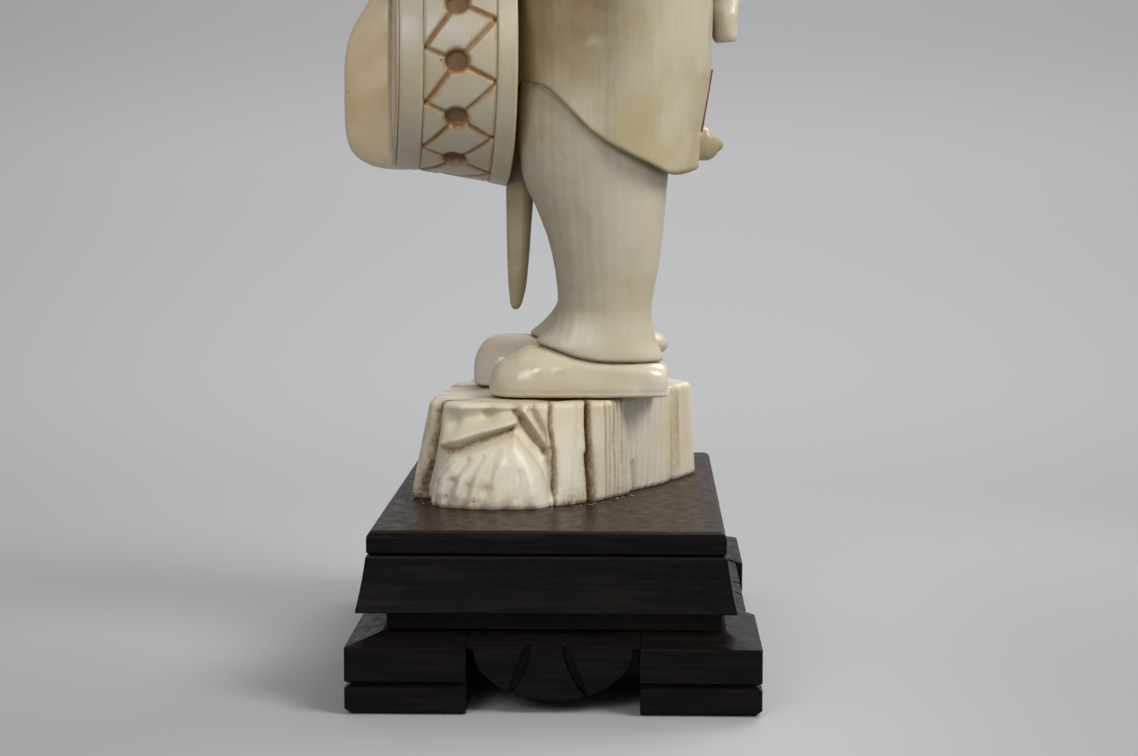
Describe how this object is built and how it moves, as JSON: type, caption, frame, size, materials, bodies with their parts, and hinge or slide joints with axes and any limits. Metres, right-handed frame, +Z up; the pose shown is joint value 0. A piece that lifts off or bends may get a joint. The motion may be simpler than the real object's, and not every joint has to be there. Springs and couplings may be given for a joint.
{
  "type": "okimono carving",
  "caption": "Carved drummer in a tucked-up robe on a rock, pegged to a two-tier hardwood stand with corner feet and hanging aprons.",
  "frame": {"origin": "middle of the stand's resting plane, between its four feet", "axes": "+Z up; -Y is the way the figure faces; +X is the figure's left; the stand's long side lies along X"},
  "size_m": [0.096, 0.0693, 0.1812],
  "materials": {
    "stand_wood": "near-black stained hardwood, satin wax",
    "dowel_wood": "plain pale dowel",
    "ivory_body": "polished carved bone-like white, warm stain in the creases",
    "ivory_rock": "carved bone-like white, matt, stained at the foot",
    "ivory_drum": "polished carved bone-like white with brown stain in the cut pattern",
    "ivory_skin": "smooth polished disc",
    "ivory_sash": "polished carved bone-like white, carved cloth folds",
    "red_lacquer": "blank red lacquer"
  },
  "bodies": {
    "root": {"arm_pegs": "ivory_body", "base_pegs": "dowel_wood", "blank_seal": "red_lacquer", "body_peg": "ivory_body", "drum_hoop_back": "ivory_drum", "drum_hoop_front": "ivory_drum", "drum_peg": "ivory_body", "drum_shell": "ivory_drum", "drum_skin_back": "ivory_skin", "drum_skin_front": "ivory_skin", "drum_strap": "ivory_sash", "foot_pegs": "ivory_body", "head": "ivory_body", "headband": "ivory_sash", "left_drumstick": "ivory_body", "left_hand": "ivory_body", "left_leg": "ivory_body", "left_shoe": "ivory_body", "left_sleeve": "ivory_body", "right_drumstick": "ivory_body", "right_hand": "ivory_body", "right_leg": "ivory_body", "right_shoe": "ivory_body", "right_sleeve": "ivory_body", "robe_skirt": "ivory_body", "robe_tail": "ivory_sash", "rock_base": "ivory_rock", "sash": "ivory_sash", "sash_knot": "ivory_sash", "stand_apron_back": "stand_wood", "stand_apron_front": "stand_wood", "stand_apron_left": "stand_wood", "stand_apron_right": "stand_wood", "stand_cornice": "stand_wood", "stand_foot_back_left": "stand_wood", "stand_foot_back_right": "stand_wood", "stand_foot_front_left": "stand_wood", "stand_foot_front_right": "stand_wood", "stand_tablet": "stand_wood", "stand_waist": "stand_wood", "topknot": "ivory_body", "torso": "ivory_body", "wrist_pegs": "ivory_body"}
  },
  "joints": []
}
